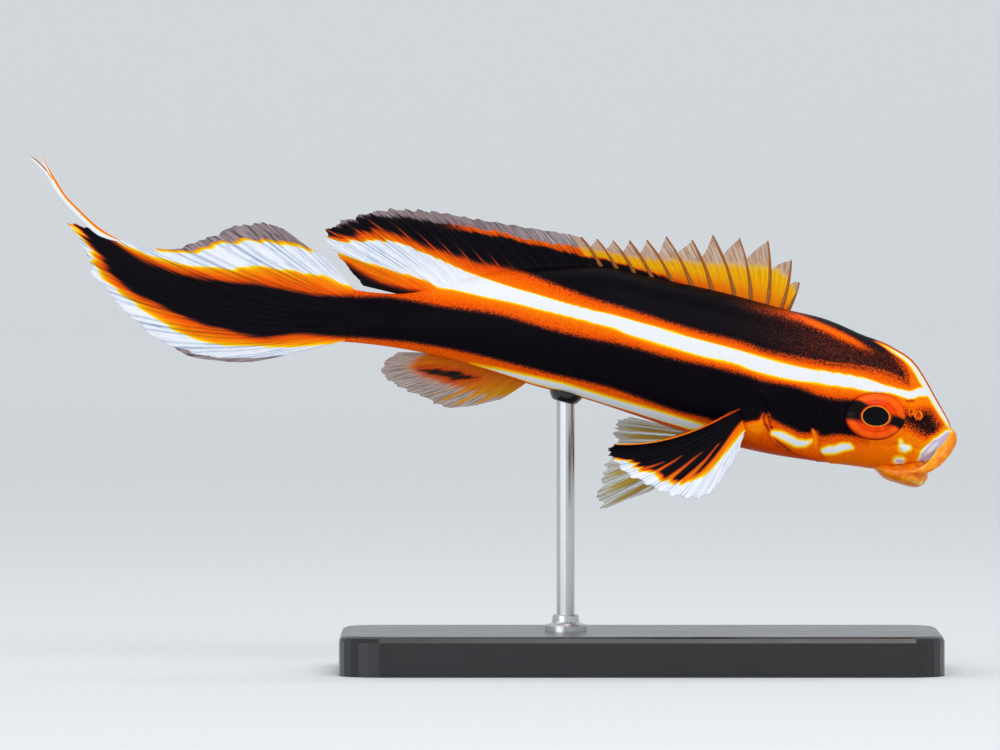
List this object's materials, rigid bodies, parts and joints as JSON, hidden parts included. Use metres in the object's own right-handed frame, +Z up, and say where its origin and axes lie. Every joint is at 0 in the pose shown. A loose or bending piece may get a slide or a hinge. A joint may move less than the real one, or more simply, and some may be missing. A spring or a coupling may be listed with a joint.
{
  "type": "juvenile lessons sweetlips display model",
  "caption": "Life-size still model of a juvenile lessons sweetlips (Plectorhinchus lessonii), nose down with fins spread, on a flat stand with a rod.",
  "frame": {"origin": "middle of the stand's underside", "axes": "+X toward the fish's head, +Z up, the fish's right side faces -Y"},
  "size_m": [0.0927, 0.026, 0.0518],
  "materials": {
    "striped_skin": "glossy scaled skin, black bands with orange and white stripes",
    "orange_skin": "glossy smooth orange skin of the head with white and black stripes",
    "amber_lip": "moist amber lip skin",
    "eye": "clear cornea over an orange iris and black pupil",
    "amber_web": "thin amber fin web with brown spines",
    "banded_web": "thin rayed fin web, banded black, orange and white",
    "clear_web": "thin clear fin web with yellow rays",
    "black_web": "thin black fin web with an orange and a white edge",
    "base_slab": "satin black",
    "rod_steel": "fine brushed"
  },
  "bodies": {
    "root": {"trunk": "striped_skin", "tail_stalk": "striped_skin", "head": "orange_skin", "gill_cover_right": "orange_skin", "gill_cover_left": "orange_skin", "upper_lip": "amber_lip", "lower_jaw": "amber_lip", "eye_right": "eye", "eye_left": "eye", "dorsal_fin_spiny": "amber_web", "dorsal_fin_soft": "banded_web", "anal_fin": "clear_web", "caudal_fin": "banded_web", "pectoral_fin_right": "black_web", "pectoral_fin_left": "black_web", "pelvic_fin_right": "clear_web", "pelvic_fin_left": "clear_web", "stand_base": "base_slab", "stand_rod": "rod_steel"}
  },
  "joints": []
}
